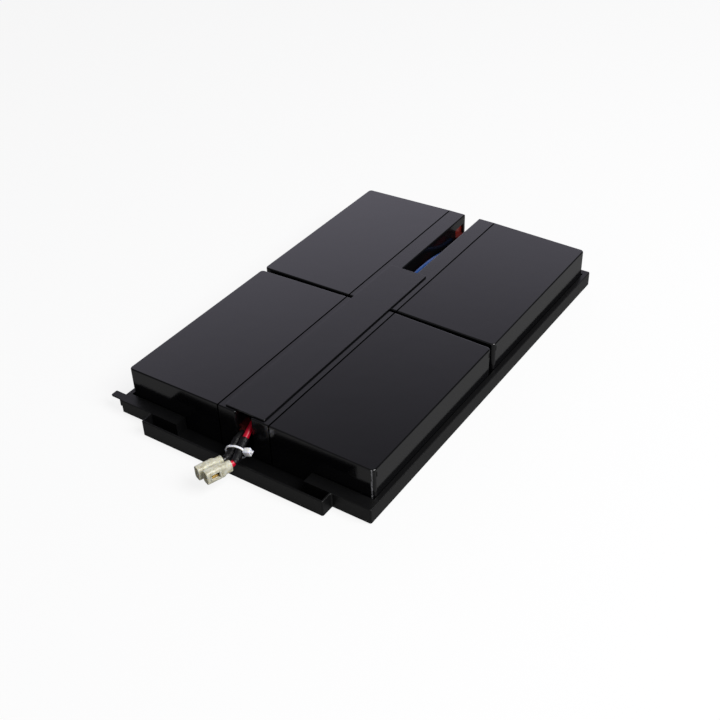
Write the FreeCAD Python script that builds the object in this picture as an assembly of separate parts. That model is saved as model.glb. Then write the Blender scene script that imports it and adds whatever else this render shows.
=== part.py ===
import FreeCAD, Part
import math
import os

# Battery cartridge for a rack UPS: four slim 6 V lead-acid batteries lie on
# their sides in a thin tray, two by two, with their lids facing a wiring channel.
# Millimetres. X runs along the front edge, Y to the back, Z up.
# The origin is on the tray's underside, below the middle of the four batteries.

V = FreeCAD.Vector

# Battery, as the trade sizes it: length x thickness x height without terminals
battery_length = 151.0
battery_thickness = 34.0
battery_height = 94.0
lid_height = 14.5
end_draft = 0.7            # each end of the case leans in by this at its base
face_draft = 1.6           # the upper face drops by this at the case's base
base_corner_r = 3.0
lid_corner_r = 1.0
edge_r = 0.9
joint_bevel = 0.35         # bevel of lid and case where they meet
case_wall = 2.2
partition = 1.6
cell_count = 3
mark_width = 0.9           # small slots near the base's upper corners
mark_height = 4.0
mark_depth = 0.5
mark_inset = 3.2
mark_drop = 2.4
lid_roof = 5.5             # lid top to the head space

# Terminals on the lid
terminal_inset = 9.5       # battery end to terminal
well_length = 13.0
well_width = 20.0
well_depth = 3.0
seal_thickness = 1.0
seal_gap = 0.1
tab_width = 6.35
tab_thickness = 0.8
tab_height = 7.0
tab_hole_r = 0.9
tab_hole_drop = 1.9        # tab tip to its hole
post_r = 2.5
post_gap = 0.1
foot_thickness = 3.0

# Valves under a glued strip
vent_hood_gap = 1.9        # recess end to the nearest hood
vent_width = 14.0
vent_depth = 4.0
vent_step = 1.2            # the strip's seat is wider than the recess by this
strip_thickness = 1.0
strip_gap = 0.15
chimney_r = 2.8
chimney_bore_r = 1.6
chimney_height = 2.2
cap_wall = 0.8
cap_roof = 0.6
cap_fit = 0.05

# Plates
stack_gap = 0.4
plates_top = 24.0          # lid top to the plates' upper edges
strap_thickness = 4.0
strap_width = 8.0
strap_inset = 1.8
plate_groove_depth = 3.0
plate_groove_width = 1.1
plate_pitch = 9.2
plate_groove_count = 4

# Layout of the four batteries
channel_width = 13.0
row_gap = 2.5              # between the front and the rear batteries

# Tray
sheet = 1.3                # wall and floor thickness
tape_thickness = 0.3
tape_length = 120.0
tape_width = 56.0
pocket_gap = 0.3
ledge_height = 12.0
skirt_lift = 0.8           # the outer skirt ends this far above the floor's underside
side_ledge = 4.0           # battery face to the tray's outer face
rear_ledge = 5.75
corner_ledge = 9.75
bay_reach = 19.25          # battery face to the front of the wiring bay
bay_half = 75.0
bay_notch_left = 52.0      # the ledge stops here, left and right of the leads
bay_notch_right = 54.0
tray_corner_r = 1.2
tray_edge_r = 0.6
tab_reach = 8.5            # guide tab at the front left corner
tab_depth = 5.5
left_skirt_lift = 2.0
corner_relief_width = 2.2
corner_relief_height = 7.0

# Cover strip over the channel
cover_width = 32.0
cover_front_inset = 2.0
cover_length = 202.0
cover_thickness = 1.0
cover_corner_r = 1.0
cover_edge_r = 0.3
cover_tape_thickness = 0.2
cover_tape_width = 7.0
cover_tape_inset = 1.0

# Leads, their push-on receptacles and hoods
lead_r = 2.1
bend_share = 0.45          # share of the shorter run that an arc takes
receptacle_start = 1.0     # well floor to the receptacle's mouth
receptacle_length = 7.0
link_receptacle_length = 6.2
receptacle_width = 7.2
receptacle_height = 2.2
receptacle_wall = 0.33
receptacle_slot = 1.0
receptacle_lip_gap = 2.0
receptacle_corner_r = 0.5
barrel_r = 1.9
barrel_length = 2.6
barrel_rise = 6.3          # well floor to the barrel's axis
hood_top = 9.2
hood_half_length = 4.6
hood_half_width = 2.5
hood_edge_r = 0.7
hood_tube_r = 2.75
hood_tube_length = 3.0
hood_gap = 0.2
lead_gap = 0.1

# Links between neighbouring batteries
link_thickness = 0.8
link_width = 5.0
boot_wall = 0.8

# Connector housings at the leads' ends
housing_length = 18.5
housing_width = 9.6
housing_thickness = 6.2
housing_corner_r = 1.8
housing_end_r = 0.5
collar_width = 8.4
collar_thickness = 6.0
collar_corner_r = 2.7
collar_length = 4.6
shoulder_length = 1.6
mouth_width = 7.9
mouth_height = 2.7
mouth_key_width = 2.4
mouth_key_height = 4.0
window_length = 6.0
window_width = 4.4
window_place = 12.4        # back face to the window's middle
window_rim = 0.8
window_rim_height = 0.3
window_rim_r = 1.0
contact_start = 8.2
contact_barrel_r = 1.7
contact_neck_length = 1.8
lance_length = 2.8
lance_height = 0.12        # the latch stands above the rolled lips by this
lead_entry = 4.0           # how far a lead runs into its housing
lead_approach = 3.2        # a lead lies on its housing's axis from here on
housing_reach = 5.7        # bay front to the nearer housing's back
housing_right = 7.8
housing_rise = 15.1
housing_pitch = 7.0        # between the two housings, side by side
housing_step = 2.2         # the farther one is this much further ahead
housing_heading = 20.9     # degrees to the left of straight ahead
housing_tilt = 1.7         # degrees downwards

# Shrink sleeves and cable tie on both leads
sleeve_wall = 0.5
sleeve_fit = 0.3
sleeve_start = -0.5        # along the leads' common run
sleeve_end_gap = 2.2       # sleeve to the housing's back
sleeve_gap = 0.25          # between the two sleeves
tie_place = 8.6            # along the leads' common run
tie_width = 2.2
tie_thickness = 0.8
tie_fit = 0.15
tie_sag = 0.9              # the loop's middle hangs below the leads' by this
tie_shift = 0.3            # and lies to the left of it by this
tie_half_straight = 0.8
tie_head_length = 4.8
tie_head_height = 5.0
tie_head_width = 4.2
tie_tail_length = 1.7

# Worked-out places
battery_pitch = (battery_length + row_gap) / 2
battery_floor = sheet + tape_thickness
lid_top_x = channel_width / 2
array_half_x = lid_top_x + battery_height
array_half_y = battery_length + row_gap / 2
terminal_y = battery_length / 2 - terminal_inset
middle_z = battery_thickness / 2
terminal_z = battery_floor + middle_z
lids_top_z = battery_floor + battery_thickness
cover_z = lids_top_z + cover_tape_thickness
tray_half_x = array_half_x + side_ledge
tray_rear_y = array_half_y + rear_ledge
tray_corner_y = -array_half_y - corner_ledge
bay_front_y = -array_half_y - bay_reach
pocket_half_x = array_half_x + pocket_gap
pocket_half_y = array_half_y + pocket_gap
lead_axis_x = lid_top_x - (barrel_rise - well_depth)
lead_end = receptacle_width / 2 + barrel_length
hood_tube_end = hood_half_length + hood_tube_length
vent_length = 2 * (terminal_y - hood_tube_end - vent_step - vent_hood_gap)

inner_length = battery_length - 2 * end_draft - 2 * case_wall
cell_length = (inner_length - (cell_count - 1) * partition) / cell_count
cell_top_z = battery_thickness - face_draft - case_wall
cell_ys = [(i - (cell_count - 1) / 2) * (cell_length + partition) for i in range(cell_count)]


def box(x0, x1, y0, y1, z0, z1):
    return Part.makeBox(x1 - x0, y1 - y0, z1 - z0, V(x0, y0, z0))


def unit(v):
    return V(v).normalize()


def edges_where(shape, test):
    """The straight or curved edges whose two ends both pass the test."""
    return [e for e in shape.Edges if all(test(v.Point) for v in e.Vertexes)]


def oriented(shape, origin, x_axis, y_axis, z_axis):
    """Set a shape from its own frame at an origin, with its three axes along unit vectors."""
    frame = FreeCAD.Matrix(x_axis.x, y_axis.x, z_axis.x, origin.x,
                           x_axis.y, y_axis.y, z_axis.y, origin.y,
                           x_axis.z, y_axis.z, z_axis.z, origin.z,
                           0, 0, 0, 1)
    moved = shape.copy()
    moved.Placement = FreeCAD.Placement(frame).multiply(moved.Placement)
    return moved


def along(shape, axis, test=lambda edge: True):
    """The straight edges that run along a direction."""
    found = []
    for e in shape.Edges:
        if len(e.Vertexes) < 2:
            continue
        run = e.Vertexes[1].Point - e.Vertexes[0].Point
        if run.Length > 0.01 and abs(unit(run).dot(axis)) > 0.999 and test(e):
            found.append(e)
    return found


def save(name, shape):
    solids = shape.Solids
    for s in solids:
        if not s.isValid() or s.Volume <= 0:
            raise ValueError(name + " has a bad solid")
    if len(solids) > 1:
        shape = Part.makeCompound(solids)
    else:
        shape = solids[0]
    shape.exportStep("parts/" + name + ".step")
    print(name, len(solids), "solids", round(sum(s.Volume for s in solids)), "mm3")


# Battery, in its own frame: x from the lid's top to the case's base,
# y along its length from its middle, z up from its lower face

def rounded_outline(block, end_x, corner_r, joint_x):
    """Round the block's end corners, then its long rims, and bevel its joint."""
    at_end = lambda e: all(abs(v.Point.x - end_x) < 0.01 for v in e.Vertexes)
    block = block.makeFillet(corner_r, along(block, V(0, 0, 1), at_end))
    rim_low = battery_thickness - face_draft - 0.01

    def on_rim(e):
        if all(abs(v.Point.x - joint_x) < 0.01 for v in e.Vertexes):
            return False
        low = all(v.Point.z < 0.01 for v in e.Vertexes)
        high = all(v.Point.z > rim_low for v in e.Vertexes)
        return low or high

    block = block.makeFillet(edge_r, [e for e in block.Edges if on_rim(e)])
    reach = end_x - joint_x
    grow = abs(reach) - joint_bevel
    mouth = section(joint_x, battery_length / 2 - joint_bevel, joint_bevel, battery_thickness - joint_bevel)
    wide = section(end_x, battery_length / 2 + grow, -grow, battery_thickness + grow)
    return block.common(Part.makeLoft([mouth, wide], True, True))


def section(x, half_y, z0, z1):
    corners = [V(x, -half_y, z0), V(x, half_y, z0), V(x, half_y, z1), V(x, -half_y, z1)]
    return Part.makePolygon(corners + corners[:1])


def battery_case():
    half = battery_length / 2
    mouth = section(lid_height, half, 0, battery_thickness)
    base = section(battery_height, half - end_draft, 0, battery_thickness - face_draft)
    body = Part.makeLoft([mouth, base], True, True)
    body = rounded_outline(body, battery_height, base_corner_r, lid_height)
    for y in cell_ys:
        y0 = y - cell_length / 2
        cell = box(lid_height - 1, battery_height - case_wall, y0, y0 + cell_length,
                   case_wall, cell_top_z)
        body = body.cut(cell)
    mark_top = battery_thickness - face_draft - mark_drop
    for side in (-1, 1):
        y = side * (half - end_draft - mark_inset)
        body = body.cut(box(battery_height - mark_depth, battery_height + 1,
                            y - mark_width / 2, y + mark_width / 2, mark_top - mark_height, mark_top))
    return body


def battery_lid():
    half = battery_length / 2
    body = box(0, lid_height, -half, half, 0, battery_thickness)
    body = rounded_outline(body, 0, lid_corner_r, lid_height)
    for y in cell_ys:
        y0 = y - cell_length / 2
        head_space = box(lid_roof, lid_height + 1, y0, y0 + cell_length, case_wall, cell_top_z)
        body = body.cut(head_space)
    for side in (-1, 1):
        y = side * terminal_y
        body = body.cut(box(-1, well_depth, y - well_length / 2, y + well_length / 2,
                            middle_z - well_width / 2, middle_z + well_width / 2))
        hole = Part.makeCylinder(post_r + post_gap, lid_roof, V(well_depth - 1, y, middle_z), V(1, 0, 0))
        body = body.cut(hole)
    body = body.cut(vent_recess(vent_depth, 0))
    body = body.cut(vent_recess(strip_thickness, vent_step))
    for y in cell_ys:
        base = V(vent_depth + 0.5, y, middle_z)
        body = body.fuse(Part.makeCylinder(chimney_r, chimney_height + 0.5, base, V(-1, 0, 0)))
    for y in cell_ys:
        base = V(lid_roof + 1, y, middle_z)
        body = body.cut(Part.makeCylinder(chimney_bore_r, lid_roof + 2, base, V(-1, 0, 0)))
    return body.removeSplitter()


def vent_recess(depth, margin):
    return box(-1, depth, -vent_length / 2 - margin, vent_length / 2 + margin,
               middle_z - vent_width / 2 - margin, middle_z + vent_width / 2 + margin)


def vent_strip():
    margin = vent_step - strip_gap
    body = box(0, strip_thickness, -vent_length / 2 - margin, vent_length / 2 + margin,
               middle_z - vent_width / 2 - margin, middle_z + vent_width / 2 + margin)
    return body


def valve_caps():
    caps = []
    for y in cell_ys:
        outer = Part.makeCylinder(chimney_r + cap_wall, chimney_height + cap_roof - 0.2,
                                  V(vent_depth - 0.2, y, middle_z), V(-1, 0, 0))
        inner = Part.makeCylinder(chimney_r + cap_fit, chimney_height,
                                  V(vent_depth, y, middle_z), V(-1, 0, 0))
        caps.append(outer.cut(inner))
    return Part.makeCompound(caps)


def plate_stacks():
    stacks = []
    half = cell_length / 2 - stack_gap
    low, high = case_wall + stack_gap, cell_top_z - stack_gap
    for y in cell_ys:
        stack = box(plates_top, battery_height - case_wall - stack_gap, y - half, y + half, low, high)
        first = y - (plate_groove_count - 1) / 2 * plate_pitch
        for i in range(plate_groove_count):
            groove_y = first + i * plate_pitch
            stack = stack.cut(box(plates_top - 1, plates_top + plate_groove_depth,
                                  groove_y - plate_groove_width / 2, groove_y + plate_groove_width / 2,
                                  low - 1, high + 1))
        for z0 in (low + strap_inset, high - strap_inset - strap_width):
            stack = stack.fuse(box(plates_top - strap_thickness, plates_top, y - half, y + half,
                                   z0, z0 + strap_width))
        stacks.append(stack.removeSplitter())
    return Part.makeCompound(stacks)


def terminal(side, positive):
    """Tab, post and foot of one terminal; the foot lies on the end cell's strap."""
    y = side * terminal_y
    tab = box(well_depth - tab_height, well_depth, y - tab_width / 2, y + tab_width / 2,
              middle_z - tab_thickness / 2, middle_z + tab_thickness / 2)
    corner = along(tab, V(0, 0, 1), lambda e: all(v.Point.x < 0 for v in e.Vertexes))
    tab = tab.makeChamfer(1.0, corner)
    hole_x = well_depth - tab_height + tab_hole_drop
    tab = tab.cut(Part.makeCylinder(tab_hole_r, 4, V(hole_x, y, middle_z - 2)))
    foot_x = plates_top - strap_thickness
    post = Part.makeCylinder(post_r, foot_x - well_depth, V(well_depth, y, middle_z), V(1, 0, 0))
    low, high = case_wall + stack_gap, cell_top_z - stack_gap
    if positive:
        reach = (middle_z - post_r, high - strap_inset - 1)
    else:
        reach = (low + strap_inset + 1, middle_z + post_r)
    foot = box(foot_x - foot_thickness, foot_x, y - post_r, y + post_r, reach[0], reach[1])
    return tab.fuse(post).fuse(foot).removeSplitter()


def terminal_seal(side):
    y = side * terminal_y
    half_y, half_z = well_length / 2 - seal_gap, well_width / 2 - seal_gap
    seal = box(well_depth - seal_thickness, well_depth, y - half_y, y + half_y,
               middle_z - half_z, middle_z + half_z)
    return seal.cut(box(-1, well_depth + 1, y - tab_width / 2 - seal_gap, y + tab_width / 2 + seal_gap,
                        middle_z - tab_thickness / 2 - seal_gap, middle_z + tab_thickness / 2 + seal_gap))


def tape_pad():
    x0 = (battery_height - tape_width) / 2
    return box(x0, x0 + tape_width, -tape_length / 2, tape_length / 2, -tape_thickness, 0)


def place(shape, right, rear):
    """Move a piece from the battery's own frame to its place in the cartridge."""
    moved = shape.copy()
    moved.translate(V(lid_top_x, battery_pitch if rear else -battery_pitch, battery_floor))
    if not right:
        moved = moved.mirror(V(0, 0, 0), V(1, 0, 0))
    return moved


# Tray

def tray():
    top = ledge_height
    outline = [V(-tray_half_x, tray_corner_y, 0), V(-bay_half, tray_corner_y, 0),
               V(-bay_half, bay_front_y, 0),
               V(bay_half, bay_front_y, 0), V(bay_half, tray_corner_y, 0), V(tray_half_x, tray_corner_y, 0),
               V(tray_half_x, tray_rear_y, 0), V(-tray_half_x, tray_rear_y, 0)]
    body = Part.Face(Part.makePolygon(outline + outline[:1])).extrude(V(0, 0, top))
    body = body.makeFillet(tray_corner_r, along(body, V(0, 0, 1)))
    body = body.makeFillet(tray_edge_r, edges_where(body, lambda p: abs(p.z - top) < 0.01))

    pocket = box(-pocket_half_x, pocket_half_x, -pocket_half_y, pocket_half_y, sheet, top + 1)
    notch = box(-bay_notch_left, bay_notch_right, tray_corner_y - 1, 0, sheet, top + 1)
    trough = box(-bay_half + sheet, bay_half - sheet, bay_front_y + sheet, tray_corner_y, sheet, top + 1)
    body = body.cut(pocket.fuse(notch).fuse(trough))

    outer_x, inner_x = tray_half_x - sheet, pocket_half_x + sheet
    front_y, back_y = tray_corner_y + sheet, tray_rear_y - sheet
    hollow_top = top - sheet
    hollows = [box(-outer_x, outer_x, pocket_half_y + sheet, back_y, -1, hollow_top)]
    for side, stop in ((-1, bay_notch_left), (1, bay_notch_right)):
        near, far = sorted((side * inner_x, side * outer_x))
        hollows.append(box(near, far, front_y, back_y, -1, hollow_top))
        near, far = sorted((side * (stop + sheet), side * outer_x))
        hollows.append(box(near, far, front_y, -pocket_half_y - sheet, -1, hollow_top))
    for hollow in hollows:
        body = body.cut(hollow)

    foot = box(-inner_x, inner_x, -pocket_half_y - sheet, pocket_half_y + sheet, 0, skirt_lift)
    foot = foot.fuse(box(-bay_notch_left - sheet, bay_notch_right + sheet, bay_front_y - 1, 0, 0, skirt_lift))
    foot = foot.fuse(box(-bay_half, bay_half, bay_front_y - 1, tray_corner_y + sheet, 0, skirt_lift))
    ground = box(-tray_half_x - 1, tray_half_x + 1, bay_front_y - 1, tray_rear_y + 1, 0, skirt_lift)
    body = body.cut(ground.cut(foot))
    body = body.cut(box(-tray_half_x - 1, -bay_half - sheet, tray_corner_y - 1, front_y, -1, left_skirt_lift))
    body = body.cut(box(-tray_half_x - 1, -tray_half_x + corner_relief_width, tray_corner_y - 1,
                        front_y + corner_relief_width, -1, corner_relief_height))
    tab = box(-tray_half_x - tab_reach, -tray_half_x + sheet, front_y, front_y + tab_depth, top - sheet, top)
    tip = along(tab, V(0, 0, 1), lambda e: e.Vertexes[0].Point.x < -tray_half_x)
    tab = tab.makeFillet(0.8, tip)
    return body.fuse(tab).removeSplitter()


# Cover strip and its tape

def cover():
    y0 = -array_half_y + cover_front_inset
    body = box(-cover_width / 2, cover_width / 2, y0, y0 + cover_length, cover_z, cover_z + cover_thickness)
    body = body.makeFillet(cover_corner_r, along(body, V(0, 0, 1)))
    return body.makeFillet(cover_edge_r, edges_where(body, lambda p: p.z > cover_z + cover_thickness - 0.01))


def cover_tape():
    y0 = -array_half_y + cover_front_inset + cover_tape_inset
    y1 = -array_half_y + cover_front_inset + cover_length - cover_tape_inset
    outer = cover_width / 2 - cover_tape_inset
    strips = []
    for side in (-1, 1):
        near, far = sorted((side * (outer - cover_tape_width), side * outer))
        for a, b in ((y0, -row_gap / 2 - edge_r), (row_gap / 2 + edge_r, y1)):
            strips.append(box(near, far, a, b, lids_top_z, cover_z))
    return Part.makeCompound(strips)


# Push-on receptacle: rolled sheet round a flat slot, open between its two lips

def rolled_receptacle(length):
    """Along +Z from 0, with its flat side across X and its lips towards +Y."""
    w, h = receptacle_width, receptacle_height
    body = box(-w / 2, w / 2, -h / 2, h / 2, 0, length)
    body = body.makeFillet(receptacle_corner_r, along(body, V(0, 0, 1)))
    slot_half = w / 2 - receptacle_wall
    body = body.cut(box(-slot_half, slot_half, -receptacle_slot / 2, receptacle_slot / 2, -1, length + 1))
    return body.cut(box(-receptacle_lip_gap / 2, receptacle_lip_gap / 2, 0, h, -1, length + 1))


# Pieces on a terminal are made in the terminal's own frame: x along the row of
# batteries, y up, z out of the well's floor

def on_terminal(shape, right, y):
    origin = V(-(lid_top_x + well_depth), y, terminal_z)
    moved = oriented(shape, origin, V(0, 1, 0), V(0, 0, 1), V(1, 0, 0))
    if right:
        moved = moved.mirror(V(0, 0, 0), V(1, 0, 0))
    return moved


def flag_receptacle(toward):
    """A receptacle whose crimp barrel leaves sideways, towards +x or -x."""
    body = rolled_receptacle(receptacle_length)
    body.translate(V(0, 0, receptacle_start))
    start = receptacle_width / 2 - receptacle_wall
    barrel = Part.makeCylinder(barrel_r, lead_end - start, V(toward * start, 0, barrel_rise), V(toward, 0, 0))
    return body.fuse(barrel).removeSplitter()


def hood(toward):
    body = box(-hood_half_length, hood_half_length, -hood_half_width, hood_half_width,
               receptacle_start, hood_top)
    body = body.makeFillet(hood_edge_r, along(body, V(0, 0, 1)))
    overlap = hood_half_length / 2
    tube = Part.makeCylinder(hood_tube_r, hood_tube_length + overlap,
                             V(toward * (hood_half_length - overlap), 0, barrel_rise), V(toward, 0, 0))
    body = body.fuse(tube)
    inner_x = receptacle_width / 2 + hood_gap
    inner_y = receptacle_height / 2 + hood_gap
    inner_top = receptacle_start + receptacle_length + hood_gap
    body = body.cut(box(-inner_x, inner_x, -inner_y, inner_y, 0, inner_top))
    bore = Part.makeCylinder(lead_r + lead_gap, hood_tube_end + 1, V(0, 0, barrel_rise), V(toward, 0, 0))
    return body.cut(bore)


def link():
    """Two receptacles on one brass strip, in the frame of a terminal half-way between both."""
    half = row_gap / 2 + terminal_inset
    bar_z = receptacle_start + link_receptacle_length
    body = box(-half - receptacle_width / 2, half + receptacle_width / 2, -link_width / 2, link_width / 2,
               bar_z, bar_z + link_thickness)
    for side in (-1, 1):
        receptacle = rolled_receptacle(link_receptacle_length)
        receptacle.translate(V(side * half, 0, receptacle_start))
        body = body.fuse(receptacle)
    return body.removeSplitter()


def link_boot():
    half = row_gap / 2 + terminal_inset + receptacle_width / 2 + hood_gap
    inner_top = receptacle_start + link_receptacle_length + link_thickness + hood_gap
    half_w = link_width / 2 + hood_gap
    body = box(-half - boot_wall, half + boot_wall, -half_w - boot_wall, half_w + boot_wall,
               well_depth + hood_gap, inner_top + boot_wall)
    body = body.makeFillet(hood_edge_r, along(body, V(0, 0, 1)))
    return body.cut(box(-half, half, -half_w, half_w, 0, inner_top))


# Leads

def lead_path(points):
    """Straight runs joined by tangent arcs: all edges in their order, and the arcs' radii."""
    edges = []
    bends = []
    start = points[0]
    for before, corner, after in zip(points, points[1:], points[2:]):
        run_in, run_out = corner - before, after - corner
        half_turn = run_in.getAngle(run_out) / 2
        setback = bend_share * min(run_in.Length, run_out.Length)
        bend = setback / math.tan(half_turn)
        first = corner - unit(run_in) * setback
        last = corner + unit(run_out) * setback
        inward = unit(unit(run_out) - unit(run_in))
        middle = corner + inward * (bend / math.cos(half_turn) - bend)
        edges.append(Part.LineSegment(start, first).toShape())
        edges.append(Part.Arc(first, middle, last).toShape())
        bends.append(round(bend, 1))
        start = last
    edges.append(Part.LineSegment(start, points[-1]).toShape())
    return edges, bends


def tube(edges, ahead, r):
    """A round bar along the edges, which start in the direction given."""
    ring = Part.Wire(Part.Circle(edges[0].Vertexes[0].Point, ahead, r).toShape())
    return Part.Wire(edges).makePipeShell([ring], True, False)


def lead(name, points):
    edges, bends = lead_path(points)
    body = tube(edges, points[1] - points[0], lead_r)
    length = sum(e.Length for e in edges)
    ratio = body.Volume / (math.pi * lead_r ** 2 * length)
    print(name, "length", round(length, 1), "volume ratio", round(ratio, 4), "arc radii", bends)
    return body


heading, tilt = math.radians(housing_heading), math.radians(housing_tilt)
housing_ahead = V(-math.sin(heading) * math.cos(tilt), -math.cos(heading) * math.cos(tilt), -math.sin(tilt))
housing_side = unit(V(0, 0, 1).cross(housing_ahead))
housing_up = unit(housing_ahead.cross(housing_side))
red_housing_back = V(housing_right, bay_front_y - housing_reach, housing_rise)
black_housing_back = red_housing_back - housing_side * housing_pitch + housing_ahead * housing_step
red_entry = red_housing_back + housing_ahead * lead_entry
black_entry = black_housing_back + housing_ahead * lead_entry
red_approach = red_housing_back - housing_ahead * lead_approach
black_approach = black_housing_back - housing_ahead * lead_approach

terminal_ends = battery_pitch + terminal_y      # the outer terminals, front and rear
lead_start_y = terminal_ends - lead_end         # rear leads start here, going forward
outlet_start_y = -terminal_ends - lead_end      # the black lead starts here, going forward
front_y = -array_half_y                         # the batteries' front faces

# Both leads run side by side from the first to the second of these points
sleeve_r = lead_r + sleeve_fit + sleeve_wall
lead_pitch = 2 * sleeve_r + sleeve_gap
common_run = V(3.2, -10.8, -2.8)
bundle_ahead = unit(common_run)
leftwards = V(-5.75, -1.15, -1.5)
bundle_across = unit(leftwards - bundle_ahead * leftwards.dot(bundle_ahead)) * -1
bundle_up = bundle_ahead.cross(bundle_across)
red_start = V(3.1, front_y - 3.95, 19.64)
red_bundle = (red_start, red_start + common_run)
black_bundle = (red_bundle[0] - bundle_across * lead_pitch, red_bundle[1] - bundle_across * lead_pitch)


def below_lids(drop):
    return lids_top_z - drop


# The red lead starts at the rear right battery, lies on the floor, and leaves high at the front
red_route = [
    V(lead_axis_x, lead_start_y, terminal_z), V(lead_axis_x, lead_start_y - 17.5, terminal_z),
    V(3.0, lead_start_y - 38.5, 11.0), V(2.9, 72, 4.9), V(2.5, 40, 3.9),
    V(1.2, 8, 3.8), V(-1.6, -24, 4.2), V(-3.3, -54, 6.6),
    V(-3.7, -80, 13.8), V(-3.2, -102, below_lids(14.0)),
    V(-1.2, front_y + 32.2, below_lids(9.0)), V(0.9, front_y + 18.7, below_lids(8.2)),
    V(2.0, front_y + 7.0, below_lids(10.4)), red_bundle[0], red_bundle[1], red_approach, red_entry,
]

# The black lead starts at the front left battery and leaves straight through the outlet
black_route = [
    V(-lead_axis_x, outlet_start_y, terminal_z), V(-lead_axis_x, outlet_start_y - 3.5, terminal_z),
    black_bundle[0], black_bundle[1], black_approach, black_entry,
]

# The blue lead joins the rear left battery to the front right one, above the other pieces
blue_route = [
    V(-lead_axis_x, lead_start_y, terminal_z), V(-lead_axis_x, lead_start_y - 15.5, terminal_z),
    V(-0.4, lead_start_y - 31.5, below_lids(12.0)), V(3.0, 86, below_lids(5.2)),
    V(3.7, 62, below_lids(3.2)), V(3.3, 36, below_lids(5.6)),
    V(2.2, 6, below_lids(7.0)), V(2.0, -26, below_lids(6.7)),
    V(2.6, -56, below_lids(7.4)), V(3.1, -86, below_lids(11.8)),
    V(lead_axis_x, -lead_start_y + 22.5, terminal_z), V(lead_axis_x, -lead_start_y, terminal_z),
]


# Shrink sleeves and cable tie, on the run that both leads share

def racetrack(half_straight, r, length):
    """A prism along +X: two half-rounds joined by flats, with its long side across Y."""
    slab = box(0, length, -half_straight, half_straight, -r, r)
    for side in (-1, 1):
        slab = slab.fuse(Part.makeCylinder(r, length, V(0, side * half_straight, 0), V(1, 0, 0)))
    return slab.removeSplitter()


def ring(half_straight, r, wall, length):
    inner = racetrack(half_straight, r, length + 2)
    inner.translate(V(-1, 0, 0))
    return racetrack(half_straight, r + wall, length).cut(inner)


def on_bundle(shape, origin):
    return oriented(shape, origin, bundle_ahead, bundle_across, bundle_up)


def shrink_sleeve(points, run_start, housing_back):
    """A tube round a lead, from the start of the common run to just short of its housing."""
    first = points.index(run_start)
    edges, _ = lead_path(points)
    covered = edges[2 * first - 2:-1]
    ahead = points[first] - points[first - 1]
    inner_r = sleeve_r - sleeve_wall
    sleeve = tube(covered, ahead, sleeve_r).cut(tube(covered, ahead, inner_r))
    reach = sum(e.Length for e in covered)
    behind = on_bundle(box(-reach, 0, -reach, reach, -reach, reach), run_start + bundle_ahead * sleeve_start)
    beyond = in_housing(box(-sleeve_end_gap, reach, -reach, reach, -reach, reach), housing_back)
    return sleeve.cut(behind).cut(beyond)


def cable_tie():
    """The loop's right half-round rests on the red lead's sleeve."""
    aside = lead_pitch / 2 + tie_shift - tie_half_straight
    loop_r = math.hypot(aside, tie_sag) + sleeve_r + tie_fit
    loop = ring(tie_half_straight, loop_r, tie_thickness, tie_width)
    loop_end = tie_half_straight + loop_r
    low = -(tie_head_width - tie_width) / 2
    head = box(low, low + tie_head_width, loop_end, loop_end + tie_head_height,
               -tie_head_length / 2, tie_head_length / 2)
    head = head.makeFillet(0.6, along(head, V(1, 0, 0)))
    tail = box(0, tie_width, loop_end + tie_head_height / 2, loop_end + tie_head_height + tie_tail_length,
               -tie_thickness / 2, tie_thickness / 2)
    tie = loop.fuse(head).fuse(tail).removeSplitter()
    middle = red_bundle[0] + bundle_ahead * tie_place - bundle_across * (lead_pitch / 2 + tie_shift)
    return on_bundle(tie, middle - bundle_up * tie_sag)


# Connector housings, in their own frame: x ahead, y through the thin side, z across the width

def rounded_section(x, thickness, width, r):
    """Closed wire across x: a rectangle with round corners."""
    outline = box(x, x + 1, -thickness / 2, thickness / 2, -width / 2, width / 2)
    outline = outline.makeFillet(r, along(outline, V(1, 0, 0)))
    at_x = [f for f in outline.Faces if all(abs(v.Point.x - x) < 0.001 for v in f.Vertexes)]
    return at_x[0].OuterWire


def housing():
    body_start = collar_length + shoulder_length
    collar = rounded_section(0, collar_thickness, collar_width, collar_corner_r)
    neck = rounded_section(collar_length, collar_thickness, collar_width, collar_corner_r)
    full = rounded_section(body_start, housing_thickness, housing_width, housing_corner_r)
    body = Part.Face(collar).extrude(V(collar_length, 0, 0))
    body = body.fuse(Part.makeLoft([neck, full], True, True))
    body = body.fuse(Part.Face(full).extrude(V(housing_length - body_start, 0, 0))).removeSplitter()
    for end in (0, housing_length):
        body = body.makeFillet(housing_end_r, edges_where(body, lambda p: abs(p.x - end) < 0.01))
    rim_y = housing_thickness / 2
    rim_half_x = window_length / 2 + window_rim
    rim_half_z = window_width / 2 + window_rim
    rim = box(window_place - rim_half_x, window_place + rim_half_x, rim_y - 1, rim_y + window_rim_height,
              -rim_half_z, rim_half_z)
    rim = rim.makeFillet(window_rim_r, along(rim, V(0, 1, 0)))
    body = body.fuse(rim).removeSplitter()
    bore = Part.makeCylinder(lead_r + lead_gap, contact_start + 1, V(-1, 0, 0), V(1, 0, 0))
    mouth = box(contact_start - 1, housing_length + 1, -mouth_height / 2, mouth_height / 2,
                -mouth_width / 2, mouth_width / 2)
    key = box(window_place, housing_length + 1, -mouth_key_height / 2, mouth_key_height / 2,
              -mouth_key_width / 2, mouth_key_width / 2)
    window = box(window_place - window_length / 2, window_place + window_length / 2, 0, housing_thickness,
                 -window_width / 2, window_width / 2)
    return body.cut(bore).cut(mouth).cut(key).cut(window).removeSplitter()


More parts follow.
